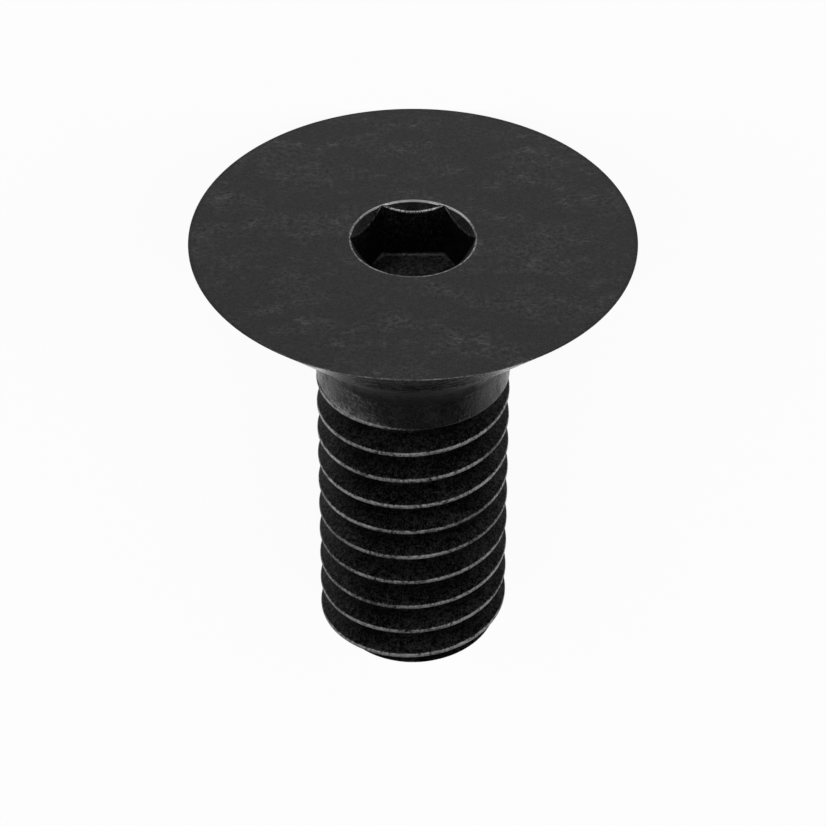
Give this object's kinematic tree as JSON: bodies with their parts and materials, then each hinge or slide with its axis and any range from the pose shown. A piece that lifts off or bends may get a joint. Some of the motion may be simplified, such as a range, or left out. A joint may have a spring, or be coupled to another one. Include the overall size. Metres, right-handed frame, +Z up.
{
  "type": "countersunk socket screw",
  "caption": "Flat-head machine screw with a conical countersunk seat, hexagon socket and right-hand metric thread, black oxide finish.",
  "frame": {"origin": "on the floor, below the middle of the lying screw", "axes": "the screw's axis lies in the XZ plane and rises towards +X, where the head is, by the tilt at which the loose screw rests; +Z up"},
  "size_m": [0.0114, 0.009, 0.0087],
  "materials": {
    "black_oxide_steel": "black oxide on alloy steel, oiled, satin, worn bright along the crests"
  },
  "bodies": {
    "root": {"screw": "black_oxide_steel"}
  },
  "joints": []
}
